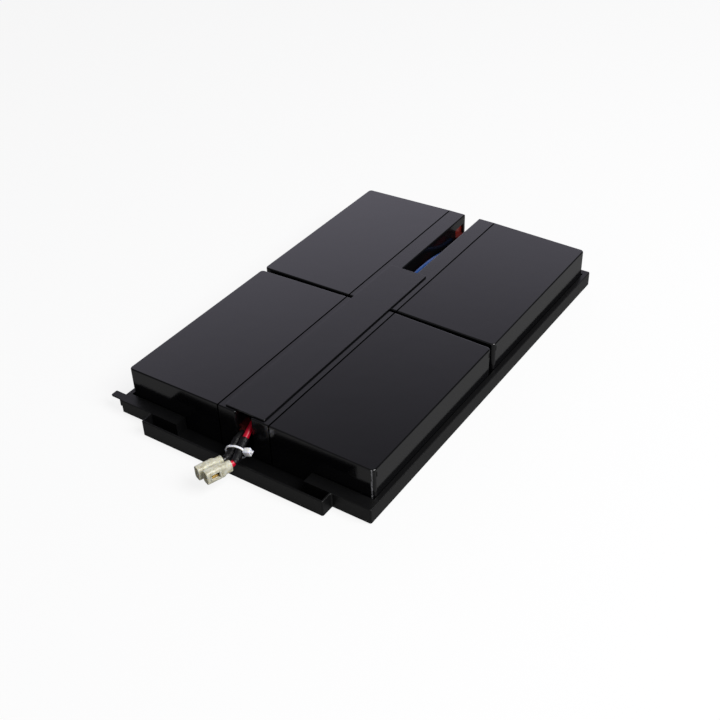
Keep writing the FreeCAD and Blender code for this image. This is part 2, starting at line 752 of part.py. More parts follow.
def contact():
    """Brass receptacle inside a housing, with its crimp barrel and its latch under the window."""
    body = rolled_receptacle(receptacle_length)
    body = oriented(body, V(contact_start, 0, 0), V(0, 0, -1), V(0, 1, 0), V(1, 0, 0))
    floor, sheet_top = -receptacle_height / 2, -receptacle_slot / 2
    neck_start = contact_start - contact_neck_length / 2
    neck = box(neck_start, neck_start + contact_neck_length, floor, sheet_top,
               -contact_barrel_r, contact_barrel_r)
    barrel = Part.makeCylinder(contact_barrel_r, neck_start + 0.4 - lead_entry, V(lead_entry, 0, 0), V(1, 0, 0))
    lip = receptacle_lip_gap / 2
    lance = box(window_place - lance_length / 2, window_place + lance_length / 2,
                receptacle_slot / 2, receptacle_height / 2 + lance_height, -lip + 0.1, lip + 0.6)
    return body.fuse(neck).fuse(barrel).fuse(lance).removeSplitter()


def in_housing(shape, back):
    return oriented(shape, back, housing_ahead, housing_side, housing_up)


def main():
    os.makedirs("parts", exist_ok=True)

    save("tray", tray())
    battery = {
        "case": battery_case(),
        "lid": battery_lid(),
        "plates": plate_stacks(),
        "valve_caps": valve_caps(),
        "vent_strip": vent_strip(),
        "positive_terminal": terminal(1, True),
        "negative_terminal": terminal(-1, False),
        "positive_seal": terminal_seal(1),
        "negative_seal": terminal_seal(-1),
    }
    pads = []
    for rear in (False, True):
        for right in (False, True):
            where = ("rear" if rear else "front") + ("_right" if right else "_left")
            for piece, shape in battery.items():
                save(where + "_" + piece, place(shape, right, rear))
            pads.append(place(tape_pad(), right, rear))
    save("battery_tapes", Part.makeCompound(pads))

    save("cover_strip", cover())
    save("cover_tape", cover_tape())

    save("left_link", on_terminal(link(), False, 0))
    save("left_link_boot", on_terminal(link_boot(), False, 0))
    save("right_link", on_terminal(link(), True, 0))
    save("right_link_boot", on_terminal(link_boot(), True, 0))

    save("red_lead", lead("red_lead", red_route))
    save("red_receptacle", on_terminal(flag_receptacle(-1), True, terminal_ends))
    save("red_hood", on_terminal(hood(-1), True, terminal_ends))
    save("black_lead", lead("black_lead", black_route))
    save("black_receptacle", on_terminal(flag_receptacle(-1), False, -terminal_ends))
    save("black_hood", on_terminal(hood(-1), False, -terminal_ends))
    save("blue_lead", lead("blue_lead", blue_route))
    blue_ends = [(-1, False, terminal_ends), (1, True, -terminal_ends)]
    receptacles = [on_terminal(flag_receptacle(toward), right, y) for toward, right, y in blue_ends]
    hoods = [on_terminal(hood(toward), right, y) for toward, right, y in blue_ends]
    save("blue_receptacles", Part.makeCompound(receptacles))
    save("blue_hoods", Part.makeCompound(hoods))

    save("shrink_sleeve", Part.makeCompound([
        shrink_sleeve(red_route, red_bundle[0], red_housing_back),
        shrink_sleeve(black_route, black_bundle[0], black_housing_back),
    ]))
    save("cable_tie", cable_tie())
    save("red_housing", in_housing(housing(), red_housing_back))
    save("red_contact", in_housing(contact(), red_housing_back))
    save("black_housing", in_housing(housing(), black_housing_back))
    save("black_contact", in_housing(contact(), black_housing_back))


main()
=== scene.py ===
# %% [markdown]
# A battery cartridge for a rack UPS: four slim black batteries lie on their sides
# in a black tray, and a cover strip hides the wiring channel between their lids.
# The construction comes in as a fixed frame of solids. This script gives each
# solid its finish, and makes the pieces that are soft or fine: the leads, their
# shrink sleeves, the cable tie and the connector housings. The frame is in metres,
# with X along the front edge, Y to the back and Z up. Small sizes are written in
# millimetres below, and turn into metres where a mesh is made.

# %% Load the frame
import math

import bmesh
import bpy
from mathutils import Matrix, Vector, noise


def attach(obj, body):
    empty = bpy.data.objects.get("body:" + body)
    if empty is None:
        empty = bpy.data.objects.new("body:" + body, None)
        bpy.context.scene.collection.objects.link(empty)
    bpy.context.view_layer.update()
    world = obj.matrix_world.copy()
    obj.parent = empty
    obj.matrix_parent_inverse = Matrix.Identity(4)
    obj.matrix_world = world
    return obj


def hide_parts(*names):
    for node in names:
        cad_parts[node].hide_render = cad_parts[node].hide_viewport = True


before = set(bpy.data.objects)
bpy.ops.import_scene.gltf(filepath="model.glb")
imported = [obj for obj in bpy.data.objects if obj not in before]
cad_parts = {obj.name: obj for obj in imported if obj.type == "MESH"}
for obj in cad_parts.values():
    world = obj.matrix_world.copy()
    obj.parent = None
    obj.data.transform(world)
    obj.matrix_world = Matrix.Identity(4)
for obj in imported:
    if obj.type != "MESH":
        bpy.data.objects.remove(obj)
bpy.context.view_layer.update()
MM = 0.001


# %% [markdown]
# The camera comes first.
# Its place was worked out from the corners of the tray and of the tops, so it is
# a long lens that looks down at 36 degrees from the front right. Three angles say
# it best: a heading, a height and a small roll. The matrix of a camera holds its
# own x, y and z axes as columns, and it looks along minus z.

# %% Camera
CAMERA_PLACE = Vector((0.38191, -0.56587, 0.48629))
CAMERA_HEADING = math.radians(34.857)
CAMERA_HEIGHT = math.radians(36.319)
CAMERA_ROLL = math.radians(-2.0886)
FOCAL_PIXELS = 1111.373
PICTURE_PIXELS = 720
SENSOR = 36


def camera_axes(heading, height, roll):
    """The camera's right, up and back."""
    level = math.cos(height)
    back = Vector((math.sin(heading) * level, -math.cos(heading) * level, math.sin(height)))
    right = Vector((0, 0, 1)).cross(back).normalized()
    up = back.cross(right)
    rolled_right = right * math.cos(roll) + up * math.sin(roll)
    rolled_up = up * math.cos(roll) - right * math.sin(roll)
    return rolled_right, rolled_up, back


axes = camera_axes(CAMERA_HEADING, CAMERA_HEIGHT, CAMERA_ROLL)
camera_data = bpy.data.cameras.new("camera")
camera_data.sensor_width = SENSOR
camera_data.lens = FOCAL_PIXELS * SENSOR / PICTURE_PIXELS
camera = bpy.data.objects.new("camera", camera_data)
camera.matrix_world = Matrix.Translation(CAMERA_PLACE) @ Matrix(axes).transposed().to_4x4()
bpy.context.collection.objects.link(camera)
bpy.context.scene.camera = camera
print("lens:", round(camera_data.lens, 2), "mm")


# %% [markdown]
# Colours are written as they look on screen, from 0 to 255. A screen bends them by
# the sRGB curve, so a helper turns them back into amounts of light. Masks and the
# sky use plain greys from 0 to 1.

# %% Colours
def screen(red, green, blue):
    """A colour as it looks on screen, as light."""
    def light(value):
        value = value / 255
        return value / 12.92 if value <= 0.04045 else ((value + 0.055) / 1.055) ** 2.4
    return (light(red), light(green), light(blue), 1.0)


def grey(value):
    return (value, value, value, 1.0)


def darkened(colour, by):
    """The colour with this share of its light taken away."""
    return tuple(channel * (1 - by) for channel in colour[:3]) + (1.0,)


NONE = grey(0.0)
FULL = grey(1.0)
print("screen grey 128 as light:", round(screen(128, 128, 128)[0], 3))


# %% [markdown]
# A finish is a tree of nodes, and a tree is easier to read as sums. So a small
# class wraps a socket and overloads the operators: 0.3 + 0.1 * grain adds its
# Math nodes by itself.

# %% Sockets in sums
class Link:
    """The output of a node, which can be used in sums."""

    def __init__(self, finish, socket):
        self.finish = finish
        self.socket = socket

    def maths(self, operation, first, second):
        return self.finish.node("ShaderNodeMath", {"operation": operation}, {0: first, 1: second})

    def __abs__(self):
        return self.finish.node("ShaderNodeMath", {"operation": "ABSOLUTE"}, {0: self})

    def __add__(self, other):
        return self.maths("ADD", self, other)

    def __radd__(self, other):
        return self.maths("ADD", other, self)

    def __sub__(self, other):
        return self.maths("SUBTRACT", self, other)

    def __rsub__(self, other):
        return self.maths("SUBTRACT", other, self)

    def __mul__(self, other):
        return self.maths("MULTIPLY", self, other)

    def __rmul__(self, other):
        return self.maths("MULTIPLY", other, self)


print("operators of a socket: abs, +, - and *")


# %% [markdown]
# Every other node comes from one method, which takes the node's type, its settings
# and what goes into its sockets. A Mix node carries sockets for numbers, vectors
# and colours side by side under the same names, so the ones for colours are
# picked by their place.

# %% A tree of nodes
MIX_FIRST = 6
MIX_SECOND = 7
MIX_RESULT = 2


def set_stops(ramp, stops):
    while len(ramp.elements) < len(stops):
        ramp.elements.new(1.0)
    for element, (position, colour) in zip(ramp.elements, stops):
        element.position = position
        element.color = colour


class NodeTree:
    """The nodes of one material, or of the sky."""

    def __init__(self, owner):
        self.owner = owner
        owner.use_nodes = True
        self.tree = owner.node_tree
        self.tree.nodes.clear()

    def node(self, kind, settings=None, inputs=None, output=0):
        made = self.tree.nodes.new(kind)
        for name, value in (settings or {}).items():
            if name == "stops":
                set_stops(made.color_ramp, value)
            elif name == "interpolation":
                made.color_ramp.interpolation = value
            else:
                setattr(made, name, value)
        for name, value in (inputs or {}).items():
            if isinstance(value, Link):
                self.tree.links.new(value.socket, made.inputs[name])
            else:
                made.inputs[name].default_value = value
        return Link(self, made.outputs[output]) if made.outputs else None

    def ramp(self, factor, *stops, smooth=False):
        settings = {"stops": stops, "interpolation": "EASE" if smooth else "LINEAR"}
        return self.node("ShaderNodeValToRGB", settings, {"Fac": factor})

    def blend(self, factor, first, second, way="MIX"):
        return self.node("ShaderNodeMix", {"data_type": "RGBA", "blend_type": way}, {
            "Factor": factor, MIX_FIRST: first, MIX_SECOND: second}, output=MIX_RESULT)

    def seen_by_eye(self, gloss_share):
        """1 for rays from the eye, also through a clear piece, and this share for rays off gloss."""
        straight = self.node("ShaderNodeLightPath", output="Is Camera Ray")
        mirrored = self.node("ShaderNodeLightPath", output="Is Glossy Ray")
        through = self.node("ShaderNodeLightPath", output="Is Transmission Ray")
        return straight + gloss_share * mirrored + through


print("colour sockets of a Mix node:", MIX_FIRST, MIX_SECOND)


# %% [markdown]
# Moulded and drawn surfaces need the same few patterns: soft noise, cells, and
# masks along an axis of the frame. Every pattern reads the Object coordinates.
# Each solid sits at the origin of the shared frame, so those are the frame's own
# metres, and a grain keeps its real size on every piece.

# %% Patterns of a surface
CRACK = grey(0.001)


class Finish(NodeTree):
    """A material, with the patterns that a moulded or drawn surface needs."""

    def __init__(self, name):
        super().__init__(bpy.data.materials.new(name))

    def place(self):
        return self.node("ShaderNodeTexCoord", output="Object")

    def grain(self, millimetres, detail=2.0, stretch=(1, 1, 1), distortion=0.0):
        """Soft noise from 0 to 1 whose lumps are about this wide."""
        stretched = self.node("ShaderNodeMapping", None, {"Vector": self.place(), "Scale": stretch})
        return self.node("ShaderNodeTexNoise", None, {
            "Vector": stretched, "Scale": 1000 / millimetres, "Detail": detail, "Distortion": distortion})

    def cells(self, millimetres):
        """Distance from the nearest of many scattered points, for a leather-like grain."""
        return self.node("ShaderNodeTexVoronoi", {"feature": "SMOOTH_F1"}, {
            "Vector": self.place(), "Scale": 1000 / millimetres})

    def along(self, axis):
        """How far along X, Y or Z of the shared frame, in millimetres."""
        apart = self.node("ShaderNodeSeparateXYZ", None, {0: self.place()}, output=axis)
        return apart * 1000.0

    def near(self, value, centre, half_width, fade):
        """1 where the value is close to the centre, falling to 0 past the half width."""
        return self.node("ShaderNodeMapRange", {"interpolation_type": "SMOOTHSTEP"}, {
            "Value": abs(value - centre), "From Min": half_width, "From Max": half_width + fade,
            "To Min": 1.0, "To Max": 0.0})

    def bump(self, height, depth_mm):
        return self.node("ShaderNodeBump", None, {"Height": height, "Distance": depth_mm * MM})

    def surface(self, inputs, crack=None):
        """The finish itself, with a crack that swallows light where the mask says so."""
        shader = self.node("ShaderNodeBsdfPrincipled", None, inputs)
        if crack is not None:
            deep = self.node("ShaderNodeBsdfDiffuse", None, {"Color": CRACK})
            shader = self.node("ShaderNodeMixShader", None, {"Fac": crack, 1: shader, 2: deep})
        self.node("ShaderNodeOutputMaterial", None, {"Surface": shader})
        return self.owner


print("patterns: grain, cells, along, near and bump")


# %% [markdown]
# Nearly everything here is black moulded plastic, so the difference between the
# pieces lies in their grain and gloss. The batteries' cases come from a polished
# mould that was lightly blasted: a fine even grain on a glossy ground, over slow
# waves where the plastic sank. A tray of pressed sheet has a duller, broader
# orange peel. All get a slow change of gloss, as where the melt flowed further,
# and the finest bump of all keeps the reflections from looking like glass.
# Two marks are masks: the weld line between case and lid, which is too narrow to see into, and a painted
# highlight down the upright corner at the front right, a pale broken line with duller gloss that stands in
# for a glint of light.

# %% Moulded plastic
FLOW_MM = 38.0
STREAK_MM = 9.0
STREAK_STRETCH = (1, 0.16, 1)
STREAK_SHARE = 0.4
SINK_MM = 24.0
CELLS_WIDER = 1.7
DARKER_BY = 0.35
LID_JOINT = {"x": 21.0, "half_width": 0.5, "fade": 0.2}
# Painted highlight on the front right corner: where its line lies, its pale colour, how much it covers, and
# how much duller the gloss gets.
CORNER = {"x": 98.6, "half_x": 0.35, "y": -151.7, "half_y": 0.6, "fade": 0.2}
CORNER_HIGHLIGHT = {"colour": screen(150, 150, 154), "cover": 0.8, "duller": 0.3}


def lid_joint(finish):
    """The line between case and lid, on both sides of the channel."""
    return finish.near(abs(finish.along("X")), LID_JOINT["x"], LID_JOINT["half_width"], LID_JOINT["fade"])


def painted_corner_highlight(finish):
    """Painted highlight: a pale, broken line down the upright corner at the front right."""
    across = finish.near(finish.along("X"), CORNER["x"], CORNER["half_x"], CORNER["fade"])
    front = finish.near(finish.along("Y"), CORNER["y"], CORNER["half_y"], CORNER["fade"])
    broken = finish.ramp(finish.grain(1.6, detail=3.0), (0.36, NONE), (0.6, FULL))
    return across * front * broken


def moulded(name, colour, gloss, grain_mm, depth_mm, flow=0.05, level=0.5, wave=0.0,
            jointed=False, painted_corner_glint=False):
    finish = Finish(name)
    fine = finish.grain(grain_mm, detail=3.0)
    cells = finish.cells(grain_mm * CELLS_WIDER)
    slow = finish.grain(FLOW_MM)
    streaks = finish.grain(STREAK_MM, detail=3.0, stretch=STREAK_STRETCH)
    sink = finish.grain(SINK_MM, detail=1.5, distortion=0.8)
    roughness = gloss + flow * (slow - 0.5) + STREAK_SHARE * flow * (streaks - 0.5)
    base = finish.blend(slow * 0.5 + fine * 0.5, darkened(colour, DARKER_BY), colour)
    relief = depth_mm * (0.6 * fine + 0.4 * cells) + wave * sink
    # Painted highlight: the front right corner is paled and its gloss made duller.
    if painted_corner_glint:
        painted_glint = painted_corner_highlight(finish)
        base = finish.blend(painted_glint * CORNER_HIGHLIGHT["cover"], base, CORNER_HIGHLIGHT["colour"])
        roughness = roughness + painted_glint * CORNER_HIGHLIGHT["duller"]
    return finish.surface({
        "Base Color": base, "Roughness": roughness, "Normal": finish.bump(relief, depth_mm=1.0),
        "Specular IOR Level": level}, lid_joint(finish) if jointed else None)


FINISHES = {
    # The cases carry the painted highlight on their front right corner.
    "battery_case": moulded("battery_case", screen(12, 12, 14), 0.13, 0.45, 0.004, flow=0.03,
                            wave=0.03, jointed=True, painted_corner_glint=True),
    "battery_lid": moulded("battery_lid", screen(13, 13, 15), 0.18, 0.38, 0.006, flow=0.04,
                           wave=0.03, jointed=True),
    "tray_plastic": moulded("tray_plastic", screen(13, 13, 14), 0.42, 0.8, 0.04, flow=0.08, level=0.3),
    "cover_plastic": moulded("cover_plastic", screen(13, 13, 15), 0.24, 0.6, 0.01, wave=0.04),
}
print("black finishes:", ", ".join(FINISHES))


# %% [markdown]
# The pieces that hide inside are quick to tell apart by colour: grey porous
# plates, rubber valve caps, brass and tinned contacts, dark red and black
# sealing resin round the terminals, and foam tape under the batteries. The leads,
# sleeves and tie share the same recipe, since PVC and nylon also have a fine
# grain over broad patches. Metal differs: it is brushed one way, and stained.

# %% Rubber, resin, foam and metal
PATCHES_WIDER = 9
WAXY = {"Subsurface Weight": 0.35, "Subsurface Radius": (1.0, 0.9, 0.65), "Subsurface Scale": 0.0012}


def soft(name, colour, gloss, grain_mm, depth_mm, mottle=0.25, **extra):
    finish = Finish(name)
    fine = finish.grain(grain_mm, detail=4.0)
    broad = finish.grain(grain_mm * PATCHES_WIDER)
    base = finish.blend(broad * 0.7 + fine * 0.3, darkened(colour, mottle), colour)
    return finish.surface({
        "Base Color": base, "Roughness": gloss + 0.08 * (fine - 0.5), "Normal": finish.bump(fine, depth_mm),
        **extra})


def metal(name, colour, tarnish, gloss, grain_mm):
    finish = Finish(name)
    brushed = finish.grain(grain_mm, detail=3.0, stretch=(1, 1, 0.2))
    stain = finish.ramp(finish.grain(3.0, detail=4.0), (0.42, NONE), (0.68, FULL))
    return finish.surface({
        "Base Color": finish.blend(stain * 0.55, colour, tarnish), "Metallic": 1.0,
        "Roughness": gloss + 0.12 * stain + 0.1 * (brushed - 0.5), "Normal": finish.bump(brushed, 0.004)})


FINISHES.update({
    "lead_plates": soft("lead_plates", screen(112, 112, 116), 0.62, 0.5, 0.03),
    "valve_rubber": soft("valve_rubber", screen(34, 34, 35), 0.6, 0.3, 0.01),
    "tin_brass": metal("tin_brass", screen(214, 208, 190), screen(150, 140, 112), 0.28, 0.5),
    "contact_brass": metal("contact_brass", screen(212, 178, 104), screen(150, 118, 66), 0.25, 0.5),
    "red_sealant": soft("red_sealant", screen(120, 34, 26), 0.3, 1.4, 0.05),
    "black_sealant": soft("black_sealant", screen(28, 28, 30), 0.3, 1.4, 0.05),
    "foam_tape": soft("foam_tape", screen(214, 214, 208), 0.85, 0.35, 0.03),
    "insulator": soft("insulator", screen(104, 34, 32), 0.42, 0.5, 0.01),
    "red_wire": soft("red_wire", screen(214, 14, 50), 0.34, 0.6, 0.01, mottle=0.12),
    "black_wire": soft("black_wire", screen(24, 24, 25), 0.34, 0.6, 0.01),
    "blue_wire": soft("blue_wire", screen(12, 66, 132), 0.4, 0.6, 0.01, mottle=0.12),
    "sleeve": soft("sleeve", screen(11, 10, 13), 0.42, 0.8, 0.3, **{"Specular IOR Level": 0.3}),
    "tie_nylon": soft("tie_nylon", screen(246, 246, 252), 0.22, 0.5, 0.006, mottle=0.04, **WAXY),
})
print("finishes so far:", len(FINISHES))


# %% [markdown]
# The connector housings are natural nylon, with no dye in it. Light goes a little way into it and scatters,
# which subsurface does, and a little transmission clears it. The pale and tan patches are partly the nylon's
# own uneven tone and partly painted light, standing in for light that shines through thin and thick places. A
# ramp over two sizes of noise spreads them at random.

# %% Natural nylon
def cloudy_nylon(name):
    finish = Finish(name)
    cloud = finish.grain(2.6, detail=2.5, distortion=0.6)
    fine = finish.grain(0.7, detail=3.0)
    # Partly painted light: the pale and tan patches lie at random and stand in for light shining through the
    # nylon.
    patches = finish.ramp(cloud * 0.8 + fine * 0.2, (0.34, screen(188, 182, 154)),
                          (0.5, screen(220, 217, 196)), (0.68, screen(238, 237, 222)))
    return finish.surface({
        "Base Color": patches, "Roughness": 0.3 + 0.1 * (fine - 0.5), "Normal": finish.bump(fine, 0.012),
        "Transmission Weight": 0.12, **WAXY})


FINISHES["housing_nylon"] = cloudy_nylon("housing_nylon")
print("finishes:", len(FINISHES))


# %% [markdown]
# Each solid already knows its material slot from the record, so one loop gives
# every carried-over solid the finish of that name, and nothing is left plain.

# %% Dress the solids
for name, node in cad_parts.items():
    slot = node.material_slots[0]
    finish_name = slot.material.name.split(".")[0]
    slot.material = FINISHES[finish_name]
print("dressed:", len(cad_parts), "solids")


# %% [markdown]
# The leads are round PVC wire. A NURBS curve of order three bends as wire does,
# smoothly past each of its points, and a round bevel gives it its thickness. The
# points are those of the construction's routes. The red lead runs low through the
# whole channel, the blue one above it, and the black one only leaves its terminal
# at the front. Where the red and the black one start down together is named,
# because the sleeves and the tie begin there.

# %% Leads
LEAD_DIAMETER = 0.0042
RED_RUN_START = (3.1, -156.2, 19.64)
BLACK_RUN_START = (-2.607, -157.493, 18.103)

RED_ROUTE = [
    (3.2, 136.55, 18.6), (3.2, 119.05, 18.6), (3.0, 98.05, 11.0), (2.9, 72, 4.9), (2.5, 40, 3.9),
    (1.2, 8, 3.8), (-1.6, -24, 4.2), (-3.3, -54, 6.6), (-3.7, -80, 13.8), (-3.2, -102, 21.6),
    (-1.2, -120.05, 26.6), (0.9, -133.55, 27.4), (2.0, -145.25, 25.2), RED_RUN_START,
    (6.3, -167.0, 16.84), (8.941, -174.212, 15.195), (6.374, -180.935, 14.981),
]
BLACK_ROUTE = [
    (-3.2, -148.95, 18.6), (-3.2, -152.45, 18.6), BLACK_RUN_START, (0.593, -168.293, 15.303),
    (1.617, -173.769, 15.13), (-0.95, -180.492, 14.916),
]
BLUE_ROUTE = [
    (-3.2, 136.55, 18.6), (-3.2, 121.05, 18.6), (-0.4, 105.05, 23.6), (3.0, 86, 30.4), (3.7, 62, 32.4),
    (3.3, 36, 30.0), (2.2, 6, 28.6), (2.0, -26, 28.9), (2.6, -56, 28.2), (3.1, -86, 23.8),
    (3.2, -114.05, 18.6), (3.2, -136.55, 18.6),
]


def lead(name, route, node, finish_name):
    curve = bpy.data.curves.new(name, "CURVE")
    curve.dimensions = "3D"
    curve.bevel_depth = LEAD_DIAMETER / 2
    curve.bevel_resolution = 5
    curve.use_fill_caps = True
    spline = curve.splines.new("NURBS")
    spline.points.add(len(route) - 1)
    for point, place in zip(spline.points, route):
        point.co = (*(value * MM for value in place), 1.0)
    spline.order_u = 3
    spline.use_endpoint_u = True
    spline.resolution_u = 8
    curve.materials.append(FINISHES[finish_name])
    wire = bpy.data.objects.new(name, curve)
    bpy.context.collection.objects.link(wire)
    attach(wire, "root")
    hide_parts(node)
    return wire


red_wire = lead("red_lead_wire", RED_ROUTE, "red_lead", "red_wire")
black_wire = lead("black_lead_wire", BLACK_ROUTE, "black_lead", "black_wire")
blue_wire = lead("blue_lead_wire", BLUE_ROUTE, "blue_lead", "blue_wire")
print("leads:", red_wire.name, black_wire.name, blue_wire.name)


# %% [markdown]
# A sleeve has to lie on its lead, so it needs points along the lead. They are read
# from the lead's own spline: a copy without its bevel turns into a bare line of
# vertices. Walking along it with equal steps gives even rings.

# %% Points along a lead
SHORTEST = 1e-9


def run_of(wire, step):
    """Points in millimetres, one step apart, along a lead's spline."""
    bare = wire.copy()
    bare.data = wire.data.copy()
    bare.data.bevel_depth = 0
    line = bpy.data.meshes.new_from_object(bare)
    corners = [vertex.co / MM for vertex in line.vertices]
    bpy.data.objects.remove(bare)
    bpy.data.meshes.remove(line)
    points = [corners[0].copy()]
    left = step
    for start, end in zip(corners, corners[1:]):
        stretch = (end - start).length
        while stretch > SHORTEST and left <= stretch:
            start = start.lerp(end, left / stretch)
            points.append(start.copy())
            stretch = (end - start).length
            left = step
        left -= stretch
    return points


print("points along the red lead:", len(run_of(red_wire, 1.0)))


# %% [markdown]
# The sleeves, the tie and the housings are all skins over loops of points. A loft
# joins loops with the same count, one after the other, and it can close to a ring,
# which makes a tube with a wall. Faces that meet at a flat angle are shaded as
# one surface, and sharper ones keep their edge.

# %% A skin from loops
PIECE_EDGE = 38
HOUSING_EDGE = 35


def loft(skin, loops, ring=False):
    """Joins each loop to the next. A ring joins the last to the first, otherwise the ends close."""
    rows = [[skin.verts.new(Vector(point) * MM) for point in loop] for loop in loops]
    pairs = list(zip(rows, rows[1:] + rows[:1])) if ring else list(zip(rows, rows[1:]))
    for one, other in pairs:
        for index in range(len(one)):
            after = (index + 1) % len(one)
            skin.faces.new((one[index], one[after], other[after], other[index]))
    if not ring:
        skin.faces.new(rows[0][::-1])
        skin.faces.new(rows[-1])


def round_corners(half_first, half_second, corner, parts):
    """The four corners of a rounded rectangle, each as a list of places on two axes."""
    corners = []
    for turn in range(4):
        first_sign = 1 if turn in (0, 3) else -1
        second_sign = 1 if turn in (0, 1) else -1
        bend = []
        for part in range(parts + 1):
            angle = math.pi / 2 * (turn + part / parts)
            bend.append(((half_first - corner) * first_sign + corner * math.cos(angle),
                         (half_second - corner) * second_sign + corner * math.sin(angle)))
        corners.append(bend)
    return corners


def shade(mesh, edge):
    """Smooth shading, but for edges that are sharper than this many degrees."""
    for face in mesh.polygons:
        face.use_smooth = True
    mesh.set_sharp_from_angle(angle=math.radians(edge))


def piece(name, skin, finish_name, *nodes):
    """Turns a skin into an object of the scene that stands for the nodes."""
    bmesh.ops.recalc_face_normals(skin, faces=skin.faces)
    mesh = bpy.data.meshes.new(name)
    skin.to_mesh(mesh)
    skin.free()
    mesh.materials.append(FINISHES[finish_name])
    made = bpy.data.objects.new(name, mesh)
    bpy.context.collection.objects.link(made)
    shade(mesh, PIECE_EDGE)
    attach(made, "root")
    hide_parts(*nodes)
    print(name, len(mesh.vertices), "vertices")
    return made


print("places on a rounded corner:", len(round_corners(2.0, 1.0, 0.5, 4)[0]))


# %% [markdown]
# Each lead has its own shrink sleeve over the part that hangs out at the front.
# Shrunk tube is never quite smooth: it folds on the inside of a bend and shows
# soft lumps where the heat came first. So every ring of the tube gets its radius
# from noise, in long lumps, short creases and sharp folds, and the cut ends flare
# a little. The radius never passes that of the sleeve's solid, so the sleeves stay
# clear of the tie. Three directions belong to the common run of the two leads,
# and one to the housings that they bend into.

# %% Shrink sleeves
BUNDLE_AHEAD = Vector((0.27570, -0.93048, -0.24124))
BUNDLE_ACROSS = Vector((0.94331, 0.21364, 0.25402))
BUNDLE_UP = Vector((-0.18482, -0.29759, 0.93663))
HOUSING_AHEAD = Vector((-0.35658, -0.93379, -0.02967))
RED_HOUSING_BACK = (7.8, -177.2, 15.1)
BLACK_HOUSING_BACK = (0.476, -176.757, 15.035)
SLEEVE_R = 2.9
SLEEVE_WALL = 0.5
SLEEVE_SLACK = 0.1
SLEEVE_START = -0.5
SLEEVE_END_GAP = 2.2
SLEEVE_SIDES = 40
RING_STEP = 0.35
FLARE = {"height": 0.1, "reach": 0.9}
LIP = {"height": 0.16, "reach": 0.3}
LUMP = {"height": 0.16, "along": 0.09, "around": 0.9}
CREASE = {"height": 0.13, "along": 0.42, "around": 1.7}
FOLD = {"height": 0.3, "along": 0.2, "around": 2.6, "from": 9.0, "sharp": 3}


def covered_run(wire, run_start, housing_back):
    """The points of a lead from where the common run starts to just before its housing."""
    inside = []
    for point in run_of(wire, RING_STEP):
        begun = (point - Vector(run_start)).dot(BUNDLE_AHEAD) >= SLEEVE_START
        ended = (point - Vector(housing_back)).dot(HOUSING_AHEAD) > -SLEEVE_END_GAP
        if begun and not ended:
            inside.append(point)
    return inside


def crumple(number, out, seed):
    """How far the tube's surface swells or falls in at a ring, in one direction."""
    wide = LUMP["around"]
    lump = noise.noise(Vector((number * LUMP["along"], out.x * wide + seed, out.z * wide)))
    wide = CREASE["around"]
    crease = noise.noise(Vector((number * CREASE["along"], out.x * wide, out.z * wide + seed)))
    wide = FOLD["around"]
    fold = noise.noise(Vector((number * FOLD["along"] + FOLD["from"], out.x * wide + seed, out.y * wide)))
    folded = max(0.0, 0.5 - FOLD["sharp"] * abs(fold))
    return LUMP["height"] * lump + CREASE["height"] * crease - FOLD["height"] * folded


def crumpled_tube(skin, points, seed):
    """A tube with a wall: its loops run out along the outside and back along the bore."""
    side = BUNDLE_UP.copy()
    outside = []
    bore = []
    for number, point in enumerate(points):
        before = points[max(number - 1, 0)]
        after = points[min(number + 1, len(points) - 1)]
        ahead = (after - before).normalized()
        side = (side - ahead * side.dot(ahead)).normalized()
        other = ahead.cross(side)
        from_end = min(number, len(points) - 1 - number) * RING_STEP
        flare = FLARE["height"] * max(0.0, 1.0 - from_end / FLARE["reach"])
        lip = LIP["height"] * max(0.0, 1.0 - from_end / LIP["reach"])
        outer_loop = []
        inner_loop = []
        for index in range(SLEEVE_SIDES):
            angle = 2 * math.pi * index / SLEEVE_SIDES
            out = side * math.cos(angle) + other * math.sin(angle)
            swell = crumple(number, out, seed)
            radius = min(SLEEVE_R, SLEEVE_R - SLEEVE_SLACK + swell + flare) - lip
            outer_loop.append(point + out * radius)
            inner_loop.append(point + out * (SLEEVE_R - SLEEVE_WALL - SLEEVE_SLACK))
        outside.append(outer_loop)
        bore.append(inner_loop)
    loft(skin, outside + bore[::-1], ring=True)


sleeve_skin = bmesh.new()
crumpled_tube(sleeve_skin, covered_run(red_wire, RED_RUN_START, RED_HOUSING_BACK), seed=2.0)
crumpled_tube(sleeve_skin, covered_run(black_wire, BLACK_RUN_START, BLACK_HOUSING_BACK), seed=5.0)
sleeves = piece("lead_sleeves", sleeve_skin, "sleeve", "shrink_sleeve")


# %% [markdown]
# The cable tie is one strap of nylon. Its inside is a ladder of fine teeth, which
# the pawl in the head grips, and two rails stand along the outer edges. The strap
# is a loft round a racetrack, and its stations move in and out to make the teeth.

# %% Cable tie, the strap
TIE_AHEAD = 8.6
TIE_ASIDE = 3.325
TIE_DROP = 0.9
TIE_MIDDLE = (Vector(RED_RUN_START) + BUNDLE_AHEAD * TIE_AHEAD - BUNDLE_ACROSS * TIE_ASIDE
              - BUNDLE_UP * TIE_DROP)
TIE_HALF_STRAIGHT = 0.8
TIE_R = 5.731
TOOTH_PITCH = 0.62
TOOTH_DEPTH = 0.16
STEPS_PER_TOOTH = 3
STRAP_INSIDE = [(0.42, 0.08), (0.6, 0.0), (1.6, 0.0), (1.78, 0.08)]
STRAP_OUTSIDE = [(1.85, 0.24), (1.85, 0.6), (1.75, 0.8), (1.56, 0.8), (1.48, 0.68), (0.72, 0.68),
                 (0.64, 0.8), (0.45, 0.8), (0.35, 0.6), (0.35, 0.24)]


def on_tie(ahead, across, up):
    """A place in the tie's own frame: along the leads, across them, and up."""
    return TIE_MIDDLE + BUNDLE_AHEAD * ahead + BUNDLE_ACROSS * across + BUNDLE_UP * up


